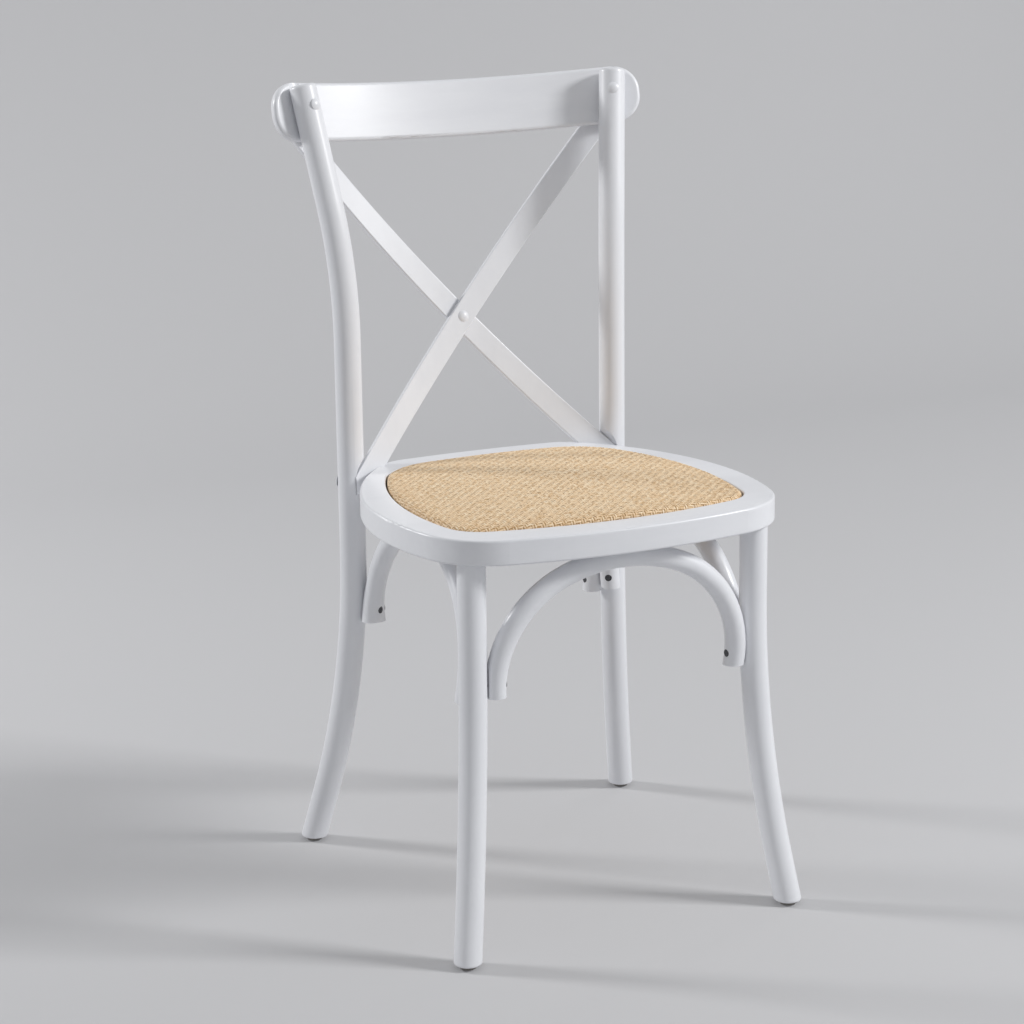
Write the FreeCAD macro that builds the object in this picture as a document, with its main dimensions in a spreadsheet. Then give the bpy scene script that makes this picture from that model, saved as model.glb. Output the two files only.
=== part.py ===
"""Cross back chair with bent rod legs, two crossed back straps and a woven seat panel.

The chair faces -Y with +Z up, and the origin lies on the floor under the middle of its
bounding box. Every driving size is in the sheet, in millimetres and degrees.
"""
import FreeCAD, Part
import math
import os
import Sketcher

V = FreeCAD.Vector
X_AXIS = V(1, 0, 0)
Y_AXIS = V(0, 1, 0)
Z_AXIS = V(0, 0, 1)
DOC = FreeCAD.newDocument("CrossBackChair")
SHEET = DOC.addObject("Spreadsheet::Sheet", "Sizes")
NODES = []

SIZES = {
    # Rear posts
    "rod_diameter": 30.4,
    "foot_round": 2.0,
    "post_setback": 137.7,
    "post_spacing": 333.2,
    "post_top_height": 888.0,
    "post_top_round": 4.0,
    "post_low_bend_height": 362.5,
    "post_low_bend_radius": 975.0,
    "post_low_lean": 17.87,
    "post_low_heading": 54.7,
    "post_high_bend_height": 606.0,
    "post_high_bend_radius": 585.5,
    "post_high_lean": 15.0,
    "post_high_heading": 61.5,
    "scoop_height": 443.0,
    "scoop_radius": 50.0,
    "scoop_depth": 9.2,
    "scoop_heading": 205.1,
    # Front legs
    "leg_spacing": 334.6,
    "leg_ahead_of_post": 332.9,
    "leg_low_bend_height": 349.7,
    "leg_low_bend_radius": 1307.0,
    "leg_low_lean": 13.17,
    "leg_low_heading": -53.0,
    "tenon_diameter": 20.0,
    "tenon_length": 20.0,
    # Floor glides
    "glide_diameter": 17.0,
    "glide_height": 4.5,
    "glide_nail_diameter": 4.0,
    "glide_nail_length": 14.0,
    # Seat ring
    "seat_underside": 430.0,
    "seat_thickness": 27.5,
    "seat_front_ahead_of_post": 381.9,
    "seat_front_radius": 700.0,
    "seat_front_arc": 11.5,
    "seat_corner_radius": 87.0,
    "seat_corner_arc": 62.5,
    "seat_side_radius": 322.0,
    "seat_side_arc": 60.0,
    "seat_rear_corner_radius": 52.0,
    "seat_rear_corner_arc": 41.0,
    "seat_edge_round": 2.6,
    "rabbet_front_inset": 37.9,
    "rabbet_front_radius": 583.0,
    "rabbet_front_arc": 14.2,
    "rabbet_corner_radius": 44.3,
    "rabbet_corner_arc": 64.5,
    "rabbet_side_radius": 379.0,
    "rabbet_side_arc": 36.5,
    "rabbet_rear_corner_radius": 78.0,
    "rabbet_rear_corner_arc": 62.4,
    "rabbet_edge_round": 1.5,
    "ledge_thickness": 10.0,
    "window_front_inset": 24.0,
    "window_front_width": 296.0,
    "window_rear_width": 208.0,
    "window_depth": 287.0,
    "window_corner_radius": 34.0,
    # Seat board and woven panel
    "board_thickness": 6.0,
    "board_gap": 1.0,
    "panel_gap": 1.6,
    "panel_crown_height": 466.0,
    "panel_crown_radius": 3300.0,
    "panel_edge_round": 4.5,
    # Top rail
    "back_lean": 13.8,
    "rail_height": 65.5,
    "rail_thickness": 13.0,
    "rail_front_radius": 550.0,
    "rail_length": 456.0,
    "rail_corner_radius": 29.5,
    "rail_middle_height": 850.0,
    "rail_middle_behind_post": 89.3,
    "rail_edge_round": 4.0,
    # Crossed straps
    "strap_width": 26.2,
    "strap_thickness": 7.0,
    "strap_edge_round": 1.2,
    "strap_slope": 48.9,
    "strap_front_radius": 494.0,
    "strap_rear_radius": 418.0,
    "strap_layer_gap": 0.3,
    "strap_seat_gap": 0.3,
    "strap_drop": 191.0,
    "strap_rise": 234.0,
    "strap_low_reach": 166.6,
    "strap_high_reach": 208.0,
    "crossing_height": 610.0,
    "crossing_behind_post": 60.1,
    # Arch braces
    "arch_rod_diameter": 23.0,
    "arch_low_height": 268.0,
    "arch_spring_height": 292.7,
    "arch_corner_radius": 122.0,
    "front_arch_inset": 23.9,
    "front_arch_ahead_of_leg": 1.0,
    "front_arch_lean": 5.6,
    "front_arch_left_height": 281.0,
    "front_arch_right_height": 276.0,
    "rear_arch_inset": 25.4,
    "rear_arch_behind_post": 1.6,
    "rear_arch_lean": 0.0,
    "rear_arch_end_height": 275.5,
    "side_arch_front_inset": 1.1,
    "side_arch_front_gap": 22.7,
    "side_arch_rear_inset": 10.8,
    "side_arch_rear_gap": 20.0,
    "side_arch_lean": 6.3,
    "side_arch_front_height": 272.0,
    "side_arch_rear_height": 282.5,
    # Seat board screws
    "board_screw_front_spread": 160.0,
    "board_screw_front_inset": 13.0,
    "board_screw_side_spread": 334.0,
    "board_screw_side_ahead_of_post": 196.0,
    "board_screw_rear_spread": 100.0,
    "board_screw_rear_ahead_of_post": 18.0,
    "board_screw_bite": 4.5,
    # Screws, bolts and nuts
    "rod_seat_gap": 0.5,
    "screw_diameter": 4.0,
    "screw_head_diameter": 8.0,
    "screw_head_height": 2.2,
    "screw_play": 0.2,
    "screw_bite": 9.0,
    "arch_screw_rise": 14.0,
    "arch_top_screw_bite": 7.0,
    "strap_screw_bite": 8.0,
    "strap_screw_reach": 197.0,
    "bolt_diameter": 6.0,
    "bolt_cap_diameter": 13.2,
    "bolt_cap_height": 2.2,
    "bolt_play": 0.2,
    "nut_diameter": 11.5,
    "nut_height": 3.5,
    "bolt_seat_gap": 0.1,
    "rail_bolt_rise": 15.0,
    "seat_bolt_heading": 221.0,
    "seat_bolt_reach": 41.0,
}


def fill_sheet():
    """Puts every driving size in the sheet, with its name as the alias."""
    for row, (name, value) in enumerate(SIZES.items(), start=1):
        SHEET.set(f"A{row}", name.replace("_", " "))
        SHEET.set(f"B{row}", str(value))
        SHEET.setAlias(f"B{row}", name)
    DOC.recompute()


def size(name):
    """The sheet's value of one size."""
    return float(SHEET.get(name))


fill_sheet()

ROD = size("rod_diameter") / 2
POST_X = size("post_spacing") / 2
POST_Y = size("post_setback")
LEG_X = size("leg_spacing") / 2
LEG_Y = POST_Y - size("leg_ahead_of_post")
FOOT = size("glide_height")
SEAT_BOTTOM = size("seat_underside")
SEAT_TOP = SEAT_BOTTOM + size("seat_thickness")
SEAT_FRONT = POST_Y - size("seat_front_ahead_of_post")
LEDGE_TOP = SEAT_BOTTOM + size("ledge_thickness")
BOARD_TOP = LEDGE_TOP + size("board_thickness")
LEAN = size("back_lean")
LEANING = FreeCAD.Rotation(X_AXIS, -LEAN)
RAIL_FRONT = V(0, POST_Y + size("rail_middle_behind_post"), size("rail_middle_height"))
CROSSING = V(0, POST_Y + size("crossing_behind_post"), size("crossing_height"))
ARCH = size("arch_rod_diameter") / 2
ARCH_LOW = size("arch_low_height")
ARCH_CROWN = SEAT_BOTTOM - ARCH
HEAD = size("screw_head_height")
SIDES = (("left", -1), ("right", 1))


# Vectors

def towards(degrees):
    """Unit vector in the floor plane, measured from +X towards +Y."""
    angle = math.radians(degrees)
    return V(math.cos(angle), math.sin(angle), 0)


def turned(degrees, side):
    """A heading of the right side, mirrored for the left."""
    return degrees if side > 0 else 180 - degrees


def on_side(point, side):
    return V(point.x * side, point.y, point.z)


def unit(vector):
    return vector * (1 / vector.Length)


def bent_point(base, prefix, sign, height):
    """Axis point of a rod's bent end at a height."""
    radius = size(f"{prefix}_bend_radius")
    lean = math.radians(size(f"{prefix}_lean"))
    rise = max(0, sign * (height - size(f"{prefix}_bend_height")))
    if rise < radius * math.sin(lean):
        out = radius - math.sqrt(radius ** 2 - rise ** 2)
    else:
        out = radius * (1 - math.cos(lean)) + (rise - radius * math.sin(lean)) * math.tan(lean)
    return V(base.x, base.y, height) + towards(size(f"{prefix}_heading")) * out


def post_point(height):
    """Axis point of the right rear post."""
    if height > size("post_high_bend_height"):
        return bent_point(V(POST_X, POST_Y, 0), "post_high", 1, height)
    return bent_point(V(POST_X, POST_Y, 0), "post_low", -1, height)


def leg_point(height):
    """Axis point of the right front leg."""
    return bent_point(V(LEG_X, LEG_Y, 0), "leg_low", -1, height)


# Document helpers

def bind(item, prop, formula):
    item.setExpression(prop, formula)


def new_body(name):
    return DOC.addObject("PartDesign::Body", name)


def new_sketch(body, name, role, offset=None):
    """A sketch on one of the body's own origin planes, moved and turned by the offset."""
    plane = [item for item in body.Origin.OriginFeatures if item.Role == role][0]
    sketch = body.newObject("Sketcher::SketchObject", name)
    sketch.AttachmentSupport = [(plane, "")]
    sketch.MapMode = "FlatFace"
    if offset is not None:
        sketch.AttachmentOffset = offset
    return sketch


def raised(height):
    return FreeCAD.Placement(V(0, 0, height), FreeCAD.Rotation())


def swung(degrees):
    """Turns an upright sketch plane about its vertical."""
    return FreeCAD.Placement(V(0, 0, 0), FreeCAD.Rotation(Y_AXIS, degrees))


def limit(sketch, formula, *constraint):
    """Adds a constraint and ties its value to the sheet."""
    index = sketch.addConstraint(Sketcher.Constraint(*constraint))
    bind(sketch, f"Constraints[{index}]", formula)


def hold(sketch, *constraint):
    sketch.addConstraint(Sketcher.Constraint(*constraint))


def draw_circle(sketch, formula, diameter, centre=None):
    """A circle of a bound diameter, on the sketch's origin unless a centre is given."""
    centre = centre or V(0, 0, 0)
    index = sketch.addGeometry(Part.Circle(centre, Z_AXIS, diameter / 2))
    limit(sketch, formula, "Diameter", index, diameter)
    if centre.Length == 0:
        hold(sketch, "Coincident", index, 3, -1, 1)
    else:
        hold(sketch, "DistanceX", -1, 1, index, 3, centre.x)
        hold(sketch, "DistanceY", -1, 1, index, 3, centre.y)


def draw_loop(sketch, pieces):
    """A closed run of lines and arcs, each joined to the next."""
    for piece in pieces:
        sketch.addGeometry(piece)


def lines(corners):
    """Straight sides through the corners, closed."""
    sides = []
    for start, end in zip(corners, corners[1:] + corners[:1]):
        sides.append(Part.LineSegment(V(*start), V(*end)))
    return sides


def arc(centre, radius, start, end):
    """A counter-clockwise arc between two angles in degrees."""
    return Part.ArcOfCircle(Part.Circle(centre, Z_AXIS, radius), math.radians(start), math.radians(end))


def pad(body, name, sketch, formula, symmetric=False):
    item = body.newObject("PartDesign::Pad", name)
    item.Profile = sketch
    item.Midplane = symmetric
    bind(item, "Length", formula)
    return item


def pocket(body, name, sketch, formula=None, symmetric=False):
    """A pocket of a bound depth, or through everything where no depth is given."""
    item = body.newObject("PartDesign::Pocket", name)
    item.Profile = sketch
    item.Midplane = symmetric
    if formula is None:
        item.Type = "ThroughAll"
    else:
        bind(item, "Length", formula)
    return item


def round_edges(body, name, base, wanted, formula):
    """Rounds the edges of the base feature that the test picks out."""
    DOC.recompute()
    names = [f"Edge{i}" for i, edge in enumerate(base.Shape.Edges, start=1) if wanted(edge)]
    item = body.newObject("PartDesign::Fillet", name)
    item.Base = (base, names)
    bind(item, "Radius", formula)
    return item


def level_with(height):
    """A test for edges that lie wholly at one height."""
    def wanted(edge):
        box = edge.BoundBox
        return abs(box.ZMin - height) < 0.01 and abs(box.ZMax - height) < 0.01
    return wanted


def peg(name, start, direction, diameter, length):
    """A round bar from a point along a direction; both sizes are formulas."""
    item = DOC.addObject("Part::Cylinder", name)
    bind(item, "Radius", f"({diameter}) / 2")
    bind(item, "Height", length)
    item.Placement = FreeCAD.Placement(start, FreeCAD.Rotation(Z_AXIS, direction))
    return item


def joined(name, items):
    item = DOC.addObject("Part::MultiFuse", name)
    item.Shapes = items
    return item


def cut(name, base, tools):
    """The base with all the tools taken out."""
    item = DOC.addObject("Part::Cut", f"{name}_cut")
    item.Base = base
    item.Tool = tools[0] if len(tools) == 1 else joined(f"{name}_tools", tools)
    return item


def keep(item, label):
    """Keeps the item as one of the chair's nodes."""
    item.Label = label
    NODES.append(item)


# Fasteners; each hole is the fastener's own form with a play all round

def screw(name, seat, direction, length):
    """A screw with its head standing behind the seat point and its shank along the direction."""
    head = peg(f"{name}_head", seat - direction * HEAD, direction, "Sizes.screw_head_diameter",
               "Sizes.screw_head_height")
    shank = peg(f"{name}_shank", seat, direction, "Sizes.screw_diameter", f"{length}")
    return joined(name, [head, shank])


def screw_hole(name, seat, direction, length):
    """The recess and the hole of a screw."""
    play = size("screw_play")
    head = peg(f"{name}_recess", seat - direction * (3 * HEAD), direction,
               "Sizes.screw_head_diameter + 2 * Sizes.screw_play", "3 * Sizes.screw_head_height")
    shank = peg(f"{name}_hole", seat - direction * HEAD, direction,
                "Sizes.screw_diameter + 2 * Sizes.screw_play", f"{length + HEAD + play}")
    return joined(f"{name}_space", [head, shank])


def bolt(name, seat, direction, length):
    """A bolt with a low domed cap standing on the seat point."""
    cap = size("bolt_cap_diameter") / 2
    rise = size("bolt_cap_height")
    shank = size("bolt_diameter") / 2
    dome = (cap ** 2 + rise ** 2) / (2 * rise)
    opening = math.degrees(math.asin(cap / dome))
    body = new_body(f"{name}_turned")
    sketch = new_sketch(body, f"{name}_profile", "XZ_Plane")
    draw_loop(sketch, [
        arc(V(0, rise - dome, 0), dome, 90 - opening, 90),
        Part.LineSegment(V(0, rise, 0), V(0, -length, 0)),
        Part.LineSegment(V(0, -length, 0), V(shank, -length, 0)),
        Part.LineSegment(V(shank, -length, 0), V(shank, 0, 0)),
        Part.LineSegment(V(shank, 0, 0), V(cap, 0, 0)),
    ])
    turned_form = body.newObject("PartDesign::Revolution", f"{name}_revolution")
    turned_form.Profile = sketch
    turned_form.ReferenceAxis = (sketch, ["V_Axis"])
    turned_form.Angle = 360
    body.Placement = FreeCAD.Placement(seat, FreeCAD.Rotation(Z_AXIS, direction * -1))
    return body


def bolt_hole(name, seat, direction, length):
    return peg(f"{name}_hole", seat - direction * size("bolt_cap_height"), direction,
               "Sizes.bolt_diameter + 2 * Sizes.bolt_play", f"{length + size('bolt_cap_height')}")


def nut(name, seat, direction):
    """A six-sided nut round the bolt, standing on the seat point."""
    block = DOC.addObject("Part::Prism", f"{name}_block")
    block.Polygon = 6
    bind(block, "Circumradius", "Sizes.nut_diameter / 2")
    bind(block, "Height", "Sizes.nut_height")
    block.Placement = FreeCAD.Placement(seat, FreeCAD.Rotation(Z_AXIS, direction))
    bore = peg(f"{name}_bore", seat, direction, "Sizes.bolt_diameter + 2 * Sizes.bolt_play",
               "Sizes.nut_height")
    return cut(name, block, [bore])


# Bent rods

def bent_end(body, name, prefix, sign, end_height, turn):
    """An arc and a straight tail from the bend height, in the plane of the rod's lean."""
    radius = size(f"{prefix}_bend_radius")
    lean = size(f"{prefix}_lean")
    start = size(f"{prefix}_bend_height")
    end = bent_point(V(0, 0, 0), prefix, sign, end_height)
    far = math.hypot(end.x, end.y)
    first, last = (2, 1) if sign > 0 else (1, 2)
    path = new_sketch(body, f"{name}_path", "XZ_Plane", swung(turn))
    if sign > 0:
        bend = arc(V(radius, start, 0), radius, 180 - lean, 180)
    else:
        bend = arc(V(radius, start, 0), radius, 180, 180 + lean)
    path.addGeometry(bend)
    tangent_point = bend.StartPoint if sign > 0 else bend.EndPoint
    path.addGeometry(Part.LineSegment(tangent_point, V(far, end_height, 0)))
    hold(path, "PointOnObject", 0, first, -2)
    hold(path, "Horizontal", 0, first, 0, 3)
    hold(path, "Tangent", 0, last, 1, 1)
    limit(path, f"Sizes.{prefix}_bend_height", "DistanceY", -1, 1, 0, first, start)
    limit(path, f"Sizes.{prefix}_bend_radius", "Radius", 0, radius)
    hold(path, "DistanceY", -1, 1, 1, 2, end_height)
    hold(path, "DistanceX", -1, 1, 1, 2, far)
    section = new_sketch(body, f"{name}_section", "XY_Plane", raised(start))
    draw_circle(section, "Sizes.rod_diameter", 2 * ROD)
    pipe = body.newObject("PartDesign::AdditivePipe", f"{name}_bend")
    pipe.Profile = section
    pipe.Spine = (path, [])
    return pipe


def foot(body, name, base):
    """Trims the lower end level with the glide's top and rounds its edge."""
    area = new_sketch(body, f"{name}_foot_area", "XY_Plane", raised(FOOT))
    half = 2 * size("post_spacing")
    draw_loop(area, lines([(-half, -half), (half, -half), (half, half), (-half, half)]))
    level = pocket(body, f"{name}_foot_cut", area)
    return round_edges(body, f"{name}_foot_round", level, level_with(FOOT), "Sizes.foot_round")


def rear_post_rod(side_name, side):
    """A rod bent outwards and back at both ends, scooped beside the seat."""
    name = f"rear_post_{side_name}"
    body = new_body(f"{name}_rod")
    section = new_sketch(body, f"{name}_section", "XY_Plane", raised(size("post_low_bend_height")))
    draw_circle(section, "Sizes.rod_diameter", 2 * ROD)
    pad(body, f"{name}_straight", section, "Sizes.post_high_bend_height - Sizes.post_low_bend_height")
    bent_end(body, f"{name}_low", "post_low", -1, -2 * ROD, turned(size("post_low_heading"), side))
    top = bent_end(body, f"{name}_high", "post_high", 1, size("post_top_height"),
                   turned(size("post_high_heading"), side))
    crown = size("post_top_height") - 2 * ROD

    def at_top(edge):
        return edge.BoundBox.ZMin > crown and edge.Length > 4 * ROD

    round_edges(body, f"{name}_top_round", top, at_top, "Sizes.post_top_round")
    foot(body, name, body.Tip)
    circle = new_sketch(body, f"{name}_scoop_circle", "XZ_Plane",
                        swung(turned(size("scoop_heading"), side)))
    depth = ROD - size("scoop_depth") + size("scoop_radius")
    draw_circle(circle, "2 * Sizes.scoop_radius", 2 * size("scoop_radius"),
                V(depth, size("scoop_height"), 0))
    pocket(body, f"{name}_scoop", circle, "2 * Sizes.rod_diameter", symmetric=True)
    body.Placement = FreeCAD.Placement(V(side * POST_X, POST_Y, 0), FreeCAD.Rotation())
    return body


def front_leg_rod(side_name, side):
    """A rod with a tenon at its top, bent outwards and forwards below."""
    name = f"front_leg_{side_name}"
    body = new_body(f"{name}_rod")
    section = new_sketch(body, f"{name}_section", "XY_Plane", raised(size("leg_low_bend_height")))
    draw_circle(section, "Sizes.rod_diameter", 2 * ROD)
    pad(body, f"{name}_straight", section, "Sizes.seat_underside - Sizes.leg_low_bend_height")
    tenon = new_sketch(body, f"{name}_tenon_section", "XY_Plane", raised(SEAT_BOTTOM))
    draw_circle(tenon, "Sizes.tenon_diameter", size("tenon_diameter"))
    pad(body, f"{name}_tenon", tenon, "Sizes.tenon_length")
    bent_end(body, f"{name}_low", "leg_low", -1, -2 * ROD, turned(size("leg_low_heading"), side))
    foot(body, name, body.Tip)
    body.Placement = FreeCAD.Placement(V(side * LEG_X, LEG_Y, 0), FreeCAD.Rotation())
    return body


# Seat ring, board and panel

def seat_outline(prefix, front, inset=0):
    """Tangent arcs round the seat from the y of its front middle, moved inwards by the inset."""
    point = V(0, front + inset, 0)
    passed = 0
    pieces = []
    for part in ("front", "corner", "side", "rear_corner"):
        radius = size(f"{prefix}_{part}_radius") - inset
        turn = size(f"{prefix}_{part}_arc")
        centre = point + towards(passed + 90) * radius
        pieces.append((centre, radius, passed - 90, passed + turn - 90))
        passed += turn
        point = centre + towards(passed - 90) * radius
    closing = point.x / math.sin(math.radians(180 - passed))
    centre = V(0, point.y - closing * math.cos(math.radians(180 - passed)), 0)
    middle, radius, start, end = pieces[0]
    outline = [arc(middle, radius, 2 * start - end, end)]
    for middle, radius, start, end in pieces[1:]:
        outline.append(arc(middle, radius, start, end))
        outline.append(arc(on_side(middle, -1), radius, 180 - end, 180 - start))
    outline.append(arc(centre, closing, passed - 90, 270 - passed))
    return outline


def ring_outline():
    return seat_outline("seat", SEAT_FRONT)


def rabbet_outline(inset):
    """The rabbet's wall, moved inwards by the inset."""
    return seat_outline("rabbet", SEAT_FRONT + size("rabbet_front_inset"), inset)


def window_outline():
    """A tapered opening with rounded corners."""
    front = SEAT_FRONT + size("rabbet_front_inset") + size("window_front_inset")
    rear = front + size("window_depth")
    wide = size("window_front_width") / 2
    narrow = size("window_rear_width") / 2
    radius = size("window_corner_radius")
    corners = [V(-wide, front, 0), V(wide, front, 0), V(narrow, rear, 0), V(-narrow, rear, 0)]
    pieces = []
    for i in range(4):
        before, corner, after = corners[i - 1], corners[i], corners[(i + 1) % 4]
        inward = unit(before - corner)
        onward = unit(after - corner)
        half = inward.getAngle(onward) / 2
        reach = radius / math.tan(half)
        centre = corner + unit(inward + onward) * (radius / math.sin(half))
        pieces.append((corner + inward * reach, centre, corner + onward * reach))
    outline = []
    for i in range(4):
        start, centre, end = pieces[i]
        first = math.degrees(math.atan2(start.y - centre.y, start.x - centre.x))
        last = math.degrees(math.atan2(end.y - centre.y, end.x - centre.x))
        outline.append(arc(centre, radius, first, last if last > first else last + 360))
        outline.append(Part.LineSegment(end, pieces[(i + 1) % 4][0]))
    return outline


def seat_ring_blank():
    """The ring with a rabbet for the board and an open window inside its ledge."""
    body = new_body("seat_ring_blank")
    outer = new_sketch(body, "ring_outline", "XY_Plane", raised(SEAT_BOTTOM))
    draw_loop(outer, ring_outline())
    plate = pad(body, "ring_plate", outer, "Sizes.seat_thickness")

    def rim(edge):
        return level_with(SEAT_BOTTOM)(edge) or level_with(SEAT_TOP)(edge)

    round_edges(body, "ring_edge_round", plate, rim, "Sizes.seat_edge_round")
    rabbet = new_sketch(body, "rabbet_outline", "XY_Plane", raised(SEAT_TOP))
    draw_loop(rabbet, rabbet_outline(0))
    sunk = pocket(body, "rabbet", rabbet, "Sizes.seat_thickness - Sizes.ledge_thickness")
    wall = Part.Wire(Part.sortEdges([piece.toShape() for piece in rabbet_outline(0)])[0])
    wall.translate(V(0, 0, SEAT_TOP))

    def wall_edge(edge):
        return level_with(SEAT_TOP)(edge) and edge.distToShape(wall)[0] < 0.01

    round_edges(body, "rabbet_round", sunk, wall_edge, "Sizes.rabbet_edge_round")
    window = new_sketch(body, "window_outline", "XY_Plane", raised(SEAT_TOP))
    draw_loop(window, window_outline())
    pocket(body, "window", window)
    return body


def seat_board_blank():
    body = new_body("seat_board_blank")
    outline = new_sketch(body, "board_outline", "XY_Plane", raised(LEDGE_TOP))
    draw_loop(outline, rabbet_outline(size("board_gap")))
    pad(body, "board_plate", outline, "Sizes.board_thickness")
    return body


def woven_panel():
    """The woven panel as a slightly crowned slab with a rolled edge."""
    body = new_body("panel_blank")
    outline = new_sketch(body, "panel_outline", "XY_Plane", raised(BOARD_TOP))
    draw_loop(outline, rabbet_outline(size("panel_gap")))
    pad(body, "panel_slab", outline, "Sizes.seat_thickness")
    ball = DOC.addObject("Part::Sphere", "panel_crown")
    bind(ball, "Radius", "Sizes.panel_crown_radius")
    middle = SEAT_FRONT + size("rabbet_front_inset") + size("window_front_inset") + size("window_depth") / 2
    drop = size("panel_crown_height") - size("panel_crown_radius")
    ball.Placement = FreeCAD.Placement(V(0, middle, drop), FreeCAD.Rotation())
    crowned = DOC.addObject("Part::MultiCommon", "panel_crowned")
    crowned.Shapes = [body, ball]
    DOC.recompute()
    rounded = DOC.addObject("Part::Fillet", "panel_rounded")
    rounded.Base = crowned
    radius = size("panel_edge_round")
    top_edges = [i for i, edge in enumerate(crowned.Shape.Edges, start=1)
                 if edge.BoundBox.ZMin > BOARD_TOP + radius]
    rounded.Edges = [(i, radius, radius) for i in top_edges]
    return rounded


# Top rail and straps

def bent_sheet(body, name, middle, radius, thickness, reach, length):
    """A sheet bowed backwards in its middle; the middle is its centre line's y there."""
    inner = radius - thickness / 2
    outer = radius + thickness / 2
    angle = math.degrees(math.asin(reach / outer))
    centre = V(0, middle - radius, 0)
    start, end = 90 - angle, 90 + angle
    sketch = new_sketch(body, f"{name}_bow", "XY_Plane")
    draw_loop(sketch, [
        arc(centre, inner, start, end),
        arc(centre, outer, start, end),
        Part.LineSegment(centre + towards(start) * inner, centre + towards(start) * outer),
        Part.LineSegment(centre + towards(end) * inner, centre + towards(end) * outer),
    ])
    return pad(body, f"{name}_sheet", sketch, length, symmetric=True)


def trim_to(body, name, outline, margin):
    """Takes away everything outside the outline, seen from the front."""
    sketch = new_sketch(body, f"{name}_trim", "XZ_Plane")
    draw_loop(sketch, lines([(-margin, -margin), (margin, -margin), (margin, margin), (-margin, margin)]))
    draw_loop(sketch, outline)
    return pocket(body, f"{name}_trimmed", sketch, f"{2 * margin}", symmetric=True)


def rail_outline():
    """A long board with nearly half-round ends."""
    half = size("rail_length") / 2
    high = size("rail_height") / 2
    radius = size("rail_corner_radius")
    outline = []
    for x, y, start in ((1, 1, 0), (-1, 1, 90), (-1, -1, 180), (1, -1, 270)):
        centre = V(x * (half - radius), y * (high - radius), 0)
        outline.append(arc(centre, radius, start, start + 90))
    ends = [(piece.StartPoint, piece.EndPoint) for piece in outline]
    for i in range(4):
        outline.append(Part.LineSegment(ends[i][1], ends[(i + 1) % 4][0]))
    return outline


def rail_blank():
    body = new_body("rail_blank")
    thickness = size("rail_thickness")
    reach = size("rail_length") / 2 + 2 * thickness
    bent_sheet(body, "rail", thickness / 2, size("rail_front_radius") + thickness / 2, thickness, reach,
               "2 * Sizes.rail_height")
    board = trim_to(body, "rail", rail_outline(), 2 * reach)
    round_edges(body, "rail_round", board, lambda edge: True, "Sizes.rail_edge_round")
    body.Placement = FreeCAD.Placement(RAIL_FRONT, LEANING)
    return body


def strap_outline(side, play):
    """A straight slanting strip, cut off at the post below and behind the rail above."""
    half = size("strap_width") / 2 + play
    slope = math.radians(size("strap_slope"))
    aside = half / math.sin(slope)
    low = -size("strap_drop") - play
    high = size("strap_rise") + play
    near = -size("strap_low_reach") - play
    far = size("strap_high_reach") + play
    corners = [
        (low / math.tan(slope) + aside, low),
        (near, low),
        (near, (near + aside) * math.tan(slope)),
        (high / math.tan(slope) - aside, high),
        (far, high),
        (far, (far - aside) * math.tan(slope)),
    ]
    return lines([(side * x, y) for x, y in corners])


def strap_blank(name, layer, side, play=0.0):
    """One strap in the crossing's own leaning frame; the layer is -1 in front and 1 behind."""
    body = new_body(f"{name}_blank")
    depth = size("strap_thickness") / 2 + size("strap_layer_gap") / 2
    radius = size("strap_front_radius") if layer < 0 else size("strap_rear_radius")
    reach = size("strap_high_reach") + size("strap_width")
    bent_sheet(body, name, layer * depth, radius, size("strap_thickness") + 2 * play, reach,
               "3 * Sizes.strap_rise")
    strip = trim_to(body, name, strap_outline(side, play), 2 * reach)
    if play == 0:
        long_edge = size("strap_rise")
        round_edges(body, f"{name}_round", strip, lambda edge: edge.Length > long_edge,
                    "Sizes.strap_edge_round")
    body.Placement = FreeCAD.Placement(CROSSING, LEANING)
    return body


# Arches

def arch_rod(name, half, frame):
    """A round rod bent to an arch in the frame's upright plane."""
    corner = size("arch_corner_radius")
    lean = frame.Rotation.multVec(Z_AXIS).z
    spring = (size("arch_spring_height") - ARCH_LOW) / lean
    extra = (ARCH_CROWN - ARCH_LOW) / lean - spring - corner
    step = ((half - corner) ** 2 + extra ** 2) / (2 * extra)
    angle = math.degrees(math.acos((half - corner) / step))
    below = math.degrees(math.asin(spring / corner))
    right = V(half - corner, spring, 0)
    body = new_body(f"{name}_rod")
    path = new_sketch(body, f"{name}_path", "XZ_Plane")
    draw_loop(path, [
        arc(right, corner, -below, angle),
        arc(V(0, spring + extra - step, 0), corner + step, angle, 180 - angle),
        arc(on_side(right, -1), corner, 180 - angle, 180 + below),
    ])
    start = right + towards(-below) * corner
    square = FreeCAD.Placement(V(start.x, 0, start.y), FreeCAD.Rotation(Y_AXIS, below))
    section = new_sketch(body, f"{name}_section", "XY_Plane", square)
    draw_circle(section, "Sizes.arch_rod_diameter", 2 * ARCH)
    pipe = body.newObject("PartDesign::AdditivePipe", f"{name}_bend")
    pipe.Profile = section
    pipe.Spine = (path, [])
    body.Placement = frame
    return body


def rod_space(name, point_at, side):
    """A bar a little thicker than the rod, over the height of an arch's end."""
    low = on_side(point_at(ARCH_LOW), side)
    high = on_side(point_at(size("arch_spring_height") + 2 * ARCH), side)
    along = unit(high - low)
    return peg(name, low - along * (2 * ARCH), along, "Sizes.rod_diameter + 2 * Sizes.rod_seat_gap",
               f"{(high - low).Length + 4 * ARCH}")


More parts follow.
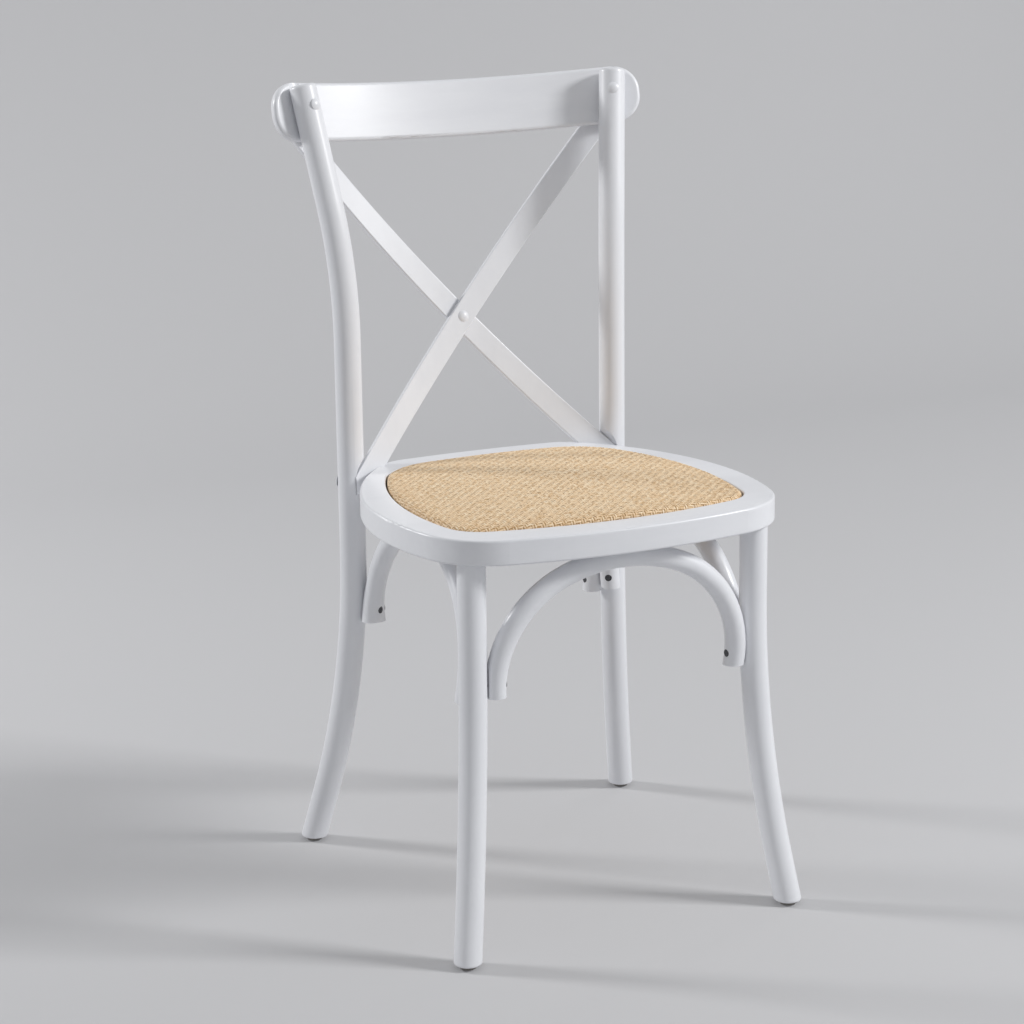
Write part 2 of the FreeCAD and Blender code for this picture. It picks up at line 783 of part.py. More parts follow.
def end_flat(name, rod_axis, away):
    """A block that cuts an arch's end flat where it meets the rod."""
    block = DOC.addObject("Part::Box", name)
    bind(block, "Length", "Sizes.rod_diameter / 2 + Sizes.rod_seat_gap")
    bind(block, "Width", "2 * Sizes.arch_rod_diameter")
    bind(block, "Height", "Sizes.arch_spring_height - Sizes.arch_low_height + 4 * Sizes.arch_rod_diameter")
    turn = FreeCAD.Rotation(X_AXIS, away)
    corner = V(rod_axis.x, rod_axis.y, ARCH_LOW - 2 * ARCH)
    block.Placement = FreeCAD.Placement(corner - turn.multVec(Y_AXIS) * (2 * ARCH), turn)
    return block


def end_level(name, end, height):
    """A block that cuts an arch's end level at a height."""
    block = DOC.addObject("Part::Box", name)
    for prop in ("Length", "Width", "Height"):
        bind(block, prop, "2 * Sizes.arch_rod_diameter")
    block.Placement = FreeCAD.Placement(V(end.x - 2 * ARCH, end.y - 2 * ARCH, height - 4 * ARCH),
                                        FreeCAD.Rotation())
    return block


def build_arch(name, lean, first, second):
    """An arch between two ends; each is (widest point, height, rod's axis, side, rod's node)."""
    a, b = first[0], second[0]
    middle = (a + b) * 0.5 + V(0, 0, ARCH_LOW)
    turn = math.degrees(math.atan2(b.y - a.y, b.x - a.x))
    upright = FreeCAD.Rotation(Z_AXIS, turn).multiply(FreeCAD.Rotation(X_AXIS, lean))
    up = upright.multVec(Z_AXIS)
    slope = V(up.x / up.z, up.y / up.z, 1)
    rod = arch_rod(name, (b - a).Length / 2, FreeCAD.Placement(middle, upright))
    tools = []
    screws = []
    for i, (end, low, axis_at, side, owner) in enumerate((first, second), start=1):
        height = low + size("arch_screw_rise")
        centre = end + V(0, 0, ARCH_LOW) + slope * (height - ARCH_LOW)
        rod_axis = on_side(axis_at(height), side)
        inward = unit(rod_axis - centre)
        length = (rod_axis - centre).Length - ROD + size("screw_bite") + ARCH - HEAD
        spec = (centre - inward * (ARCH - HEAD), inward, length)
        tools.append(rod_space(f"{name}_seat_{i}", axis_at, side))
        tools.append(end_flat(f"{name}_flat_{i}", rod_axis, inward * -1))
        tools.append(end_level(f"{name}_level_{i}", end, low))
        tools.append(screw_hole(f"{name}_end_{i}", *spec))
        screws.append(screw(f"{name}_screw_{i}", *spec))
        HOLES[owner].append(screw_hole(f"{name}_rod_{i}", *spec))
    crown = middle + slope * (SEAT_BOTTOM - 2 * ARCH + HEAD - ARCH_LOW)
    spec = (crown, Z_AXIS, 2 * ARCH - HEAD + size("arch_top_screw_bite"))
    tools.append(screw_hole(f"{name}_top", *spec))
    HOLES["seat_ring"].append(screw_hole(f"{name}_ring", *spec))
    TOP_SCREWS.append(screw(f"{name}_top_screw", *spec))
    keep(cut(name, rod, tools), name)
    keep(joined(f"{name}_end_screws", screws), f"{name}_screws")


HOLES = {name: [] for name in ("seat_ring", "rear_post_left", "rear_post_right", "front_leg_left",
                               "front_leg_right", "top_rail", "strap_front", "strap_rear", "seat_board")}
TOP_SCREWS = []


def build_arches():
    x_front = LEG_X - size("front_arch_inset")
    y_front = LEG_Y - size("front_arch_ahead_of_leg")
    build_arch("front_arch", size("front_arch_lean"),
               (V(-x_front, y_front, 0), size("front_arch_left_height"), leg_point, -1, "front_leg_left"),
               (V(x_front, y_front, 0), size("front_arch_right_height"), leg_point, 1, "front_leg_right"))
    x_rear = POST_X - size("rear_arch_inset")
    y_rear = POST_Y + size("rear_arch_behind_post")
    rear_height = size("rear_arch_end_height")
    build_arch("rear_arch", size("rear_arch_lean"),
               (V(-x_rear, y_rear, 0), rear_height, post_point, -1, "rear_post_left"),
               (V(x_rear, y_rear, 0), rear_height, post_point, 1, "rear_post_right"))
    for side_name, side in SIDES:
        near = V(LEG_X - size("side_arch_front_inset"), LEG_Y + size("side_arch_front_gap"), 0)
        far = V(POST_X - size("side_arch_rear_inset"), POST_Y - size("side_arch_rear_gap"), 0)
        near_height = size("side_arch_front_height")
        far_height = size("side_arch_rear_height")
        build_arch(f"{side_name}_arch", -side * size("side_arch_lean"),
                   (on_side(near, side), near_height, leg_point, side, f"front_leg_{side_name}"),
                   (on_side(far, side), far_height, post_point, side, f"rear_post_{side_name}"))
    keep(joined("arch_top_screw_set", TOP_SCREWS), "arch_top_screws")


def build_glides():
    """A turned glide with a nail under each foot."""
    for row, point_at in (("front_leg", leg_point), ("rear_post", post_point)):
        for side_name, side in SIDES:
            centre = on_side(point_at(FOOT), side)
            floor = V(centre.x, centre.y, 0)
            name = f"glide_{row}_{side_name}"
            disc = peg(f"{name}_disc", floor, Z_AXIS, "Sizes.glide_diameter", "Sizes.glide_height")
            nail = peg(f"{name}_nail", floor, Z_AXIS, "Sizes.glide_nail_diameter",
                       "Sizes.glide_height + Sizes.glide_nail_length")
            keep(joined(f"{name}_piece", [disc, nail]), name)
            HOLES[f"{row}_{side_name}"].append(
                peg(f"{name}_hole", floor, Z_AXIS, "Sizes.glide_nail_diameter + 2 * Sizes.screw_play",
                    "Sizes.glide_height + Sizes.glide_nail_length + Sizes.screw_play"))


def leaning_point(origin, local):
    """A point given in a frame that leans with the back."""
    return origin + LEANING.multVec(local)


def strap_spot(layer, side, reach, offset):
    """A point on a strap's centre line, off its middle layer, and the way out of its back."""
    depth = layer * (size("strap_thickness") + size("strap_layer_gap")) / 2
    radius = size("strap_front_radius") if layer < 0 else size("strap_rear_radius")
    angle = math.asin(reach / radius)
    out = V(side * math.sin(angle), math.cos(angle), 0)
    rise = reach * math.tan(math.radians(size("strap_slope")))
    local = V(0, depth - radius, rise) + out * (radius + offset)
    return leaning_point(CROSSING, local), LEANING.multVec(out)


def build_straps(rail_space):
    """Both straps, the bolt through their crossing and the screws that hold their tops."""
    half = size("strap_thickness") / 2
    thickness = size("strap_thickness")
    for name, layer, side in (("strap_front", -1, 1), ("strap_rear", 1, -1)):
        spot, out = strap_spot(layer, side, size("strap_screw_reach"), half - HEAD)
        spec = (spot, out * -1, thickness - HEAD + size("strap_screw_bite"))
        HOLES[name].append(screw_hole(f"{name}_top", *spec))
        HOLES["top_rail"].append(screw_hole(f"{name}_rail", *spec))
        keep(screw(f"{name}_top_screw", *spec), f"{name}_screw")
        HOLES[name].append(rail_space)
    back = LEANING.multVec(Y_AXIS)
    stack = 2 * thickness + size("strap_layer_gap")
    seat = CROSSING - back * (stack / 2 + size("bolt_seat_gap"))
    length = stack + size("bolt_seat_gap") + size("nut_height")
    for name in ("strap_front", "strap_rear"):
        HOLES[name].append(bolt_hole(f"{name}_cross", seat, back, length))
    keep(bolt("cross_bolt", seat, back, length), "cross_bolt")
    keep(nut("cross_nut", CROSSING + back * (stack / 2), back), "cross_nut")
    for name, layer, side in (("strap_front", -1, 1), ("strap_rear", 1, -1)):
        keep(cut(name, strap_blank(name, layer, side), HOLES[name]), name)


def build_rail_bolts():
    """A bolt through each post and the rail, square to the rail's bend, with a nut behind."""
    radius = size("rail_front_radius")
    for side_name, side in SIDES:
        name = f"rail_bolt_{side_name}"
        axis = on_side(post_point(size("rail_middle_height") + size("rail_bolt_rise")), side)
        local = LEANING.inverted().multVec(axis - RAIL_FRONT)
        from_centre = V(local.x, local.y + radius, 0)
        back = LEANING.multVec(unit(from_centre))
        seat = axis - back * ROD
        to_nut = ROD + radius + size("rail_thickness") - from_centre.Length
        length = to_nut + size("nut_height")
        HOLES["top_rail"].append(bolt_hole(f"{name}_rail", seat, back, length))
        HOLES[f"rear_post_{side_name}"].append(bolt_hole(f"{name}_post", seat, back, length))
        keep(bolt(name, seat, back, length), name)
        keep(nut(f"rail_nut_{side_name}", seat + back * to_nut, back), f"rail_nut_{side_name}")
        low = on_side(post_point(size("rail_middle_height") - size("rail_height")), side)
        high = on_side(post_point(size("rail_middle_height") + size("rail_height")), side)
        HOLES["top_rail"].append(peg(f"{name}_housing", low, high - low,
                                     "Sizes.rod_diameter + 2 * Sizes.strap_seat_gap",
                                     f"{(high - low).Length}"))


def build_seat_bolts():
    """A bolt through each rear post and the strap's end into the ring."""
    height = SEAT_BOTTOM + size("seat_thickness") / 2
    for side_name, side in SIDES:
        name = f"seat_bolt_{side_name}"
        inward = towards(turned(size("seat_bolt_heading"), side))
        seat = V(side * POST_X, POST_Y, height) - inward * ROD
        length = ROD + size("seat_bolt_reach")
        strap = "strap_front" if side < 0 else "strap_rear"
        for owner in (f"rear_post_{side_name}", strap, "seat_ring"):
            HOLES[owner].append(bolt_hole(f"{name}_{owner}", seat, inward, length + size("bolt_play")))
        keep(bolt(name, seat, inward, length), name)


def build_board_screws():
    """Screws up through the ring's ledge into the board."""
    spots = (
        (size("board_screw_front_spread") / 2,
         SEAT_FRONT + size("rabbet_front_inset") + size("board_screw_front_inset")),
        (size("board_screw_side_spread") / 2, POST_Y - size("board_screw_side_ahead_of_post")),
        (size("board_screw_rear_spread") / 2, POST_Y - size("board_screw_rear_ahead_of_post")),
    )
    length = size("ledge_thickness") - HEAD + size("board_screw_bite")
    screws = []
    for i, (x, y) in enumerate(spots, start=1):
        for side_name, side in SIDES:
            spec = (V(side * x, y, SEAT_BOTTOM + HEAD), Z_AXIS, length)
            screws.append(screw(f"board_screw_{i}_{side_name}", *spec))
            HOLES["seat_ring"].append(screw_hole(f"board_ring_{i}_{side_name}", *spec))
            HOLES["seat_board"].append(screw_hole(f"board_hole_{i}_{side_name}", *spec))
    keep(joined("board_screw_set", screws), "seat_board_screws")


def build():
    """Makes every node; the parts with holes come after the fasteners that need them."""
    rail_space = new_body("rail_space")
    depth = size("rail_thickness") + size("strap_seat_gap")
    bent_sheet(rail_space, "rail_space", depth / 2, size("rail_front_radius") + depth / 2, depth,
               size("rail_length") / 2 + 2 * depth, "4 * Sizes.rail_height")
    rail_space.Placement = FreeCAD.Placement(RAIL_FRONT, LEANING)
    build_arches()
    build_glides()
    build_rail_bolts()
    build_seat_bolts()
    build_board_screws()
    build_straps(rail_space)
    keep(cut("top_rail", rail_blank(), HOLES["top_rail"]), "top_rail")
    gap = size("strap_seat_gap")
    for side_name, side in SIDES:
        layer = -1 if side < 0 else 1
        housing = strap_blank(f"strap_space_{side_name}", layer, -side, gap)
        post = f"rear_post_{side_name}"
        keep(cut(post, rear_post_rod(side_name, side), HOLES[post] + [housing]), post)
        HOLES["seat_ring"].append(housing)
        leg = f"front_leg_{side_name}"
        keep(cut(leg, front_leg_rod(side_name, side), HOLES[leg]), leg)
        HOLES["seat_ring"].append(
            peg(f"{leg}_socket", V(side * LEG_X, LEG_Y, SEAT_BOTTOM), Z_AXIS,
                "Sizes.tenon_diameter + Sizes.screw_play", "Sizes.tenon_length + Sizes.screw_play"))
    keep(cut("seat_ring", seat_ring_blank(), HOLES["seat_ring"]), "seat_ring")
    keep(cut("seat_board", seat_board_blank(), HOLES["seat_board"]), "seat_board")
    keep(woven_panel(), "seat_weave")
    DOC.recompute()


def write_steps():
    """Checks every object and writes one STEP file for each node."""
    for item in DOC.Objects:
        if "Invalid" in item.State or "Error" in item.State:
            raise RuntimeError(f"{item.Name} did not build: {item.State}")
    os.makedirs("parts", exist_ok=True)
    for item in NODES:
        shape = item.Shape
        if shape.isNull() or not shape.isValid():
            raise RuntimeError(f"{item.Label} has no valid shape")
        shape.exportStep(f"parts/{item.Label}.step")
        print(item.Label, len(shape.Solids), round(shape.Volume))


build()
write_steps()
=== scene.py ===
"""Cross back chair: painted wood, a woven seat panel and a plain stage."""
import math

import bpy
from bpy.props import FloatProperty, FloatVectorProperty, IntProperty, PointerProperty
from mathutils import Matrix, Vector


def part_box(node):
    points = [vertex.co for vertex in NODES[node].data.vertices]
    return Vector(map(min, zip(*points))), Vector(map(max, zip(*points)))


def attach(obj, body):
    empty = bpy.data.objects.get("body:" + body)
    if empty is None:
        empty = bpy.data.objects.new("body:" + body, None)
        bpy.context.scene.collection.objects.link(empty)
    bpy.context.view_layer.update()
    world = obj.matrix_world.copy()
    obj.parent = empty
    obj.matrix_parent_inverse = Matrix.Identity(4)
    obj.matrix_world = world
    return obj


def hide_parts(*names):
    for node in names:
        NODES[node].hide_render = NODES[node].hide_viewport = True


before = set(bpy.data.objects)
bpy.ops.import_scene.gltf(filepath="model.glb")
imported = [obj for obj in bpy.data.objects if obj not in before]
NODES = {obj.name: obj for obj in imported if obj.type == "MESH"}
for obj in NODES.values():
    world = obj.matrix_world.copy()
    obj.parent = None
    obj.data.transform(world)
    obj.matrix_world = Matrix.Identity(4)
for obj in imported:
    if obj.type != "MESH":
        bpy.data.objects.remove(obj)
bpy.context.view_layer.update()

bl_info = {
    "name": "Cross Back Chair",
    "version": (1, 0, 0),
    "blender": (4, 5, 0),
    "location": "View3D > Sidebar > Chair",
    "description": "Finishes a cross back chair and weaves its seat panel",
    "category": "Object",
}

WEAVE_LOW, WEAVE_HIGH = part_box("seat_weave")

# The seat panel's outline: arcs from the middle of the front, before the one that closes the back
PANEL_FRONT = WEAVE_LOW.y
PANEL_RADII = (0.5814, 0.0427, 0.3774, 0.0764)
PANEL_TURNS = tuple(math.radians(turn) for turn in (14.2, 64.5, 36.5, 62.4))
ARC_STEP = math.radians(1.5)
CLOSING_STEPS = 24

# The weave. Lengths are in metres.
POINTS_ACROSS = 3.0       # points across a strand
POINTS_PER_PITCH = 2.0    # points along a strand for each strand that it crosses
GRID_SPARE = 0.012        # how far the strands start beyond the panel's box
EDGE_TUCK = 0.0062        # how much of them beyond the outline is kept and rolled down
EDGE_REACH = 0.026        # how far in from the outline the strands are marked as near the edge
OUTSIDE = 0.0001          # distance from the outline's face at which a point counts as outside
LEVEL = 0.000001          # roll below which a point lies on the level top
PROUD = 1.2               # room that the strands take above the slab, in thicknesses
DIVE = 0.36               # how far a strand rises over and dips under, in thicknesses
DIVE_SHARPNESS = 1.7      # how quickly it changes from over to under
ROUND_TOP = 0.62          # height of a strand's rounded top, in thicknesses
ROUND_FALL = 0.8          # share of it that is lost at the strand's sides
UNEVEN_LIFT = 0.12        # unevenness of a strand's height, in thicknesses
UNEVEN_PLACE = 0.06       # unevenness of its place, in pitches
UNEVEN_PHASE = 0.45       # unevenness of where it dives, in radians
STRAND_APART = 0.377      # what sets a strand's colour apart from its neighbour's
UNEVEN_STRAND = 0.5       # unevenness of that
ALONG_UNIT = 10.0         # the strands' lengths reach the material in tenths of a metre
CROSSWAYS_SEED = 31       # added to the seed for the strands that run from side to side
WEAVE_INPUTS = (
    ("Border", "Object"), ("Area", "Object"), ("Pitch", "Float"), ("Width", "Float"),
    ("Thickness", "Float"), ("Edge round", "Float"), ("Crown radius", "Float"),
    ("Crown height", "Float"), ("Low", "Vector"), ("High", "Vector"), ("Seed", "Int"))

# The stage. A lamp has a name, a place, a target, a side length and a power.
LAMPS = (
    ("key", (2.85, -2.0, 2.6), (0, 0, 0.45), 0.8, 104.0),
    ("fill", (-2.6, 2.1, 2.0), (0, 0, 0.3), 0.6, 60.0),
    ("wall", (2.9, 1.6, 2.6), (2.6, 3.2, 0.8), 1.0, 12.0))
WORLD_COLOUR = (0.97, 0.98, 1.0, 1.0)
WORLD_STRENGTH = 0.47
FLOOR_FRONT = -20.0
WALL = 3.2
WALL_TOP = 6.0
BEND = 1.2
BEND_STEPS = 12
BACKDROP_HALF_WIDTH = 14.0
CAMERA_AZIMUTH = math.radians(-24.948)
CAMERA_ELEVATION = math.radians(14.198)
CAMERA_ROLL = math.radians(-0.714)
CAMERA_TARGET = Vector((-0.00205, 0.0588, 0.40606))
CAMERA_DISTANCE = 3.0184
CAMERA_LENS = 93.1
CAMERA_SENSOR = 36.0


# Node trees

class Value:
    """A socket that can be used in Python expressions, which add Math nodes."""

    def __init__(self, tree, socket):
        self.tree = tree
        self.socket = socket

    def math(self, operation, *others):
        return maths(self.tree, operation, self, *others)

    def __add__(self, other):
        return self.math("ADD", other)

    def __sub__(self, other):
        return self.math("SUBTRACT", other)

    def __rsub__(self, other):
        return maths(self.tree, "SUBTRACT", other, self)

    def __mul__(self, other):
        return self.math("MULTIPLY", other)

    def __truediv__(self, other):
        return self.math("DIVIDE", other)

    def __rtruediv__(self, other):
        return maths(self.tree, "DIVIDE", other, self)

    def __gt__(self, other):
        return self.math("GREATER_THAN", other)

    def __lt__(self, other):
        return self.math("LESS_THAN", other)

    __radd__ = __add__
    __rmul__ = __mul__


def node(tree, kind, settings=None, inputs=None, output=0):
    """Adds a node: its settings first, then the values or links of its sockets."""
    item = tree.nodes.new(kind)
    for name, setting in (settings or {}).items():
        if name == "stops":
            while len(item.color_ramp.elements) < len(setting):
                item.color_ramp.elements.new(0.5)
            for element, (at, colour) in zip(item.color_ramp.elements, setting):
                element.position = at
                element.color = colour
        else:
            setattr(item, name, setting)
    for key, value in (inputs or {}).items():
        socket = item.inputs[key]
        if isinstance(value, Value):
            tree.links.new(value.socket, socket)
        else:
            socket.default_value = value
    if output is None:
        return item
    return Value(tree, item.outputs[output])


def maths(tree, operation, *operands):
    return node(tree, "ShaderNodeMath", {"operation": operation}, dict(enumerate(operands)))


def vector_maths(tree, operation, inputs):
    return node(tree, "ShaderNodeVectorMath", {"operation": operation}, inputs)


def combined(tree, x, y, z):
    return node(tree, "ShaderNodeCombineXYZ", None, {0: x, 1: y, 2: z})


def separated(tree, vector):
    """The three numbers of a vector."""
    item = node(tree, "ShaderNodeSeparateXYZ", None, {0: vector}, None)
    return [Value(tree, socket) for socket in item.outputs]


# Materials

def new_material(name):
    """A material with an empty tree, its output and its Principled shader."""
    material = bpy.data.materials.new(name)
    material.use_nodes = True
    tree = material.node_tree
    tree.nodes.clear()
    shader = tree.nodes.new("ShaderNodeBsdfPrincipled")
    out = tree.nodes.new("ShaderNodeOutputMaterial")
    tree.links.new(shader.outputs[0], out.inputs[0])
    return material, tree, shader


def feed(shader, name, value):
    """Links a value to a shader's socket, or sets it."""
    if isinstance(value, Value):
        shader.id_data.links.new(value.socket, shader.inputs[name])
    else:
        shader.inputs[name].default_value = value


def place(tree, stretch=(1, 1, 1)):
    """Object coordinates, stretched."""
    coordinates = node(tree, "ShaderNodeTexCoord", output="Object")
    return node(tree, "ShaderNodeMapping", None, {"Vector": coordinates, "Scale": stretch})


def attribute(tree, name):
    """A number that the mesh carries at its points."""
    return node(tree, "ShaderNodeAttribute", {"attribute_name": name}, output="Fac")


def noise(tree, vector, scale, detail=3.0, rough=0.5):
    inputs = {"Vector": vector, "Scale": scale, "Detail": detail, "Roughness": rough}
    return node(tree, "ShaderNodeTexNoise", None, inputs)


def ramp(tree, factor, stops):
    """A colour for a number, from stops of a position and a colour."""
    settings = {"stops": [(at, (*colour, 1.0)) for at, colour in stops]}
    return node(tree, "ShaderNodeValToRGB", settings, {"Fac": factor})


def mixed(tree, share, first, colour):
    """A colour that turns into a plain one by a share."""
    inputs = {0: share, 6: first, 7: (*colour, 1.0)}
    return node(tree, "ShaderNodeMix", {"data_type": "RGBA"}, inputs, 2)


def ramp_share(tree, value, start, end, top):
    """A share that climbs from nothing at the start to the top at the end."""
    inputs = {0: value, 1: start, 2: end, 3: 0.0, 4: top}
    return node(tree, "ShaderNodeMapRange", None, inputs)


def bump(tree, height, strength, distance):
    inputs = {"Height": height, "Strength": strength, "Distance": distance}
    return node(tree, "ShaderNodeBump", None, inputs)


def painted_wood(name, stretch, colour):
    """Satin white paint with the wood's grain faintly showing along the piece."""
    material, tree, shader = new_material(name)
    along = place(tree, stretch)
    grain = noise(tree, along, scale=9.0, detail=5.0, rough=0.62)
    fine = noise(tree, along, scale=34.0, detail=3.0, rough=0.55)
    cloud = noise(tree, place(tree), scale=7.0, detail=2.0)
    tint = tuple(channel * share for channel, share in zip(colour, (0.955, 0.955, 0.96)))
    mottled = ramp(tree, grain * 0.55 + cloud * 0.45, [(0.34, tint), (0.6, tuple(colour))])
    feed(shader, "Base Color", mottled)
    feed(shader, "Roughness", grain * 0.10 + cloud * 0.10 + 0.27)
    feed(shader, "Specular IOR Level", 0.5)
    feed(shader, "Coat Weight", 0.25)
    feed(shader, "Coat Roughness", 0.18)
    feed(shader, "Normal", bump(tree, grain * 0.7 + fine * 0.3, strength=0.22, distance=0.0004))
    return material


def woven_cord():
    """Pale paper cord: fibres along each strand, colour that wanders from strand to strand, and
    painted shade at the strands' sides, in their dips and near the rolled edge.
    """
    material, tree, shader = new_material("woven_cord")
    strand, depth, along = (attribute(tree, name) for name in ("strand", "depth", "along"))
    across, edge = (attribute(tree, name) for name in ("across", "edge"))
    lengthwise = combined(tree, along * 60.0, across * 3.0, strand * 17.0)
    fibre = noise(tree, lengthwise, scale=1.0, detail=3.0, rough=0.6)
    wander = noise(tree, combined(tree, along * 9.0, strand * 31.0, across * 0.3),
                   scale=1.0, detail=2.0)
    colour = ramp(tree, wander, [(0.30, (0.76, 0.54, 0.31)), (0.45, (0.93, 0.72, 0.48)),
                                 (0.62, (0.98, 0.82, 0.59)), (0.80, (1.0, 0.90, 0.71))])
    colour = mixed(tree, (fibre - 0.40) * 0.5, colour, (0.40, 0.24, 0.12))
    speck = noise(tree, place(tree), scale=360.0, detail=2.0, rough=0.6)
    speck_share = ramp_share(tree, speck, start=0.54, end=0.68, top=0.70)
    colour = mixed(tree, speck_share, colour, (0.44, 0.235, 0.085))
    # Painted shade: the strands darken towards their sides, where they meet their neighbours, and
    # more so near the rolled edge.
    side_shade_share = ramp_share(tree, across.math("ABSOLUTE"), start=0.35, end=1.0, top=0.64)
    colour = mixed(tree, side_shade_share * (edge * 0.75 + 1.0), colour, (0.52, 0.285, 0.10))
    # Painted shade: the strands darken where they dip under the crossing strands, and more so near
    # the rolled edge.
    sunk_shade_share = ramp_share(tree, depth, start=0.2, end=-1.0, top=0.26)
    colour = mixed(tree, sunk_shade_share * (edge * 1.2 + 1.0), colour, (0.36, 0.21, 0.105))
    feed(shader, "Base Color", colour)
    feed(shader, "Roughness", fibre * 0.2 + 0.5)
    feed(shader, "Specular IOR Level", 0.35)
    feed(shader, "Normal", bump(tree, fibre, strength=0.35, distance=0.0003))
    return material


def speckled(name, dark, pale, scale, detail, rough, gloss, relief, stretch=(1, 1, 1), metal=0.0):
    """A finish whose colour, gloss and relief follow one noise.

    gloss is the lowest roughness and what the noise adds to it, and relief is the bump's
    strength and distance.
    """
    material, tree, shader = new_material(name)
    spots = noise(tree, place(tree, stretch), scale, detail, rough)
    feed(shader, "Base Color", ramp(tree, spots, [(0.3, dark), (0.7, pale)]))
    feed(shader, "Roughness", spots * gloss[1] + gloss[0])
    feed(shader, "Metallic", metal)
    feed(shader, "Normal", bump(tree, spots, *relief))
    return material


def plain_board():
    """Raw plywood under the woven panel."""
    return speckled("plain_board", (0.50, 0.36, 0.22), (0.66, 0.51, 0.34), scale=14.0, detail=4.0,
                    rough=0.6, gloss=(0.6, 0.2), relief=(0.3, 0.0005), stretch=(1, 9, 9))


def cap_paint(colour):
    """The wood's white on the domed bolt caps, a little glossier."""
    shade = tuple(channel * 0.97 for channel in colour)
    return speckled("cap_paint", shade, tuple(colour), scale=260.0, detail=2.0,
                    rough=0.5, gloss=(0.24, 0.15), relief=(0.05, 0.0002))


def steel(name, dark, pale):
    """Dull zinc plating."""
    return speckled(name, dark, pale, scale=420.0, detail=3.0,
                    rough=0.5, gloss=(0.28, 0.25), relief=(0.1, 0.0002), metal=1.0)


def glide():
    """Pale grey nylon with scuffs."""
    return speckled("glide", (0.17, 0.155, 0.14), (0.30, 0.285, 0.265), scale=300.0, detail=4.0,
                    rough=0.65, gloss=(0.4, 0.3), relief=(0.15, 0.0003))


def flat_material(name, colour, rough):
    """A plain finish for the stage."""
    material, tree, shader = new_material(name)
    feed(shader, "Base Color", (*colour, 1.0))
    feed(shader, "Roughness", rough)
    feed(shader, "Specular IOR Level", 0.1)
    return material


def dress(names, material):
    """Gives CAD nodes a material."""
    for name in names:
        mesh = NODES[name].data
        mesh.materials.clear()
        mesh.materials.append(material)


# Woven panel

def added(name, data):
    """A new object in the scene."""
    item = bpy.data.objects.new(name, data)
    bpy.context.scene.collection.objects.link(item)
    return item


def tangent_arcs(front, radii, turns):
    """Points round the seat: tangent arcs from the middle of the front, mirrored at the back."""
    point = Vector((0.0, front))
    passed = 0.0
    half = [point]
    for radius, turn in zip(radii, turns):
        centre = point + Vector((-math.sin(passed), math.cos(passed))) * radius
        count = max(2, math.ceil(turn / ARC_STEP))
        for i in range(1, count + 1):
            at = passed + turn * i / count - math.pi / 2
            half.append(centre + Vector((math.cos(at), math.sin(at))) * radius)
        point = half[-1]
        passed += turn
    left = math.pi - passed
    closing = point.x / math.sin(left)
    centre = Vector((0.0, point.y - closing * math.cos(left)))
    for i in range(1, CLOSING_STEPS + 1):
        at = math.pi / 2 - left * (1 - i / CLOSING_STEPS)
        half.append(centre + Vector((math.cos(at), math.sin(at))) * closing)
    mirrored = [Vector((-p.x, p.y)) for p in half[-2:0:-1]]
    return half + mirrored


def outline_mesh(name, points, filled):
    """The seat panel's outline on the floor, as one face or as edges alone."""
    mesh = bpy.data.meshes.new(name)
    corners = [(p.x, p.y, 0.0) for p in points]
    count = len(corners)
    if filled:
        mesh.from_pydata(corners, [], [list(range(count))])
    else:
        mesh.from_pydata(corners, [(i, (i + 1) % count) for i in range(count)], [])
    return added(name, mesh)


def stored(tree, geometry, name, value):
    """Geometry that carries a number at its points under a name."""
    return node(tree, "GeometryNodeStoreNamedAttribute", {"data_type": "FLOAT", "domain": "POINT"},
                {"Geometry": geometry, "Name": name, "Value": value}, "Geometry")


def read(tree, name):
    """The number that the geometry carries under a name."""
    settings = {"data_type": "FLOAT"}
    return node(tree, "GeometryNodeInputNamedAttribute", settings, {"Name": name}, "Attribute")


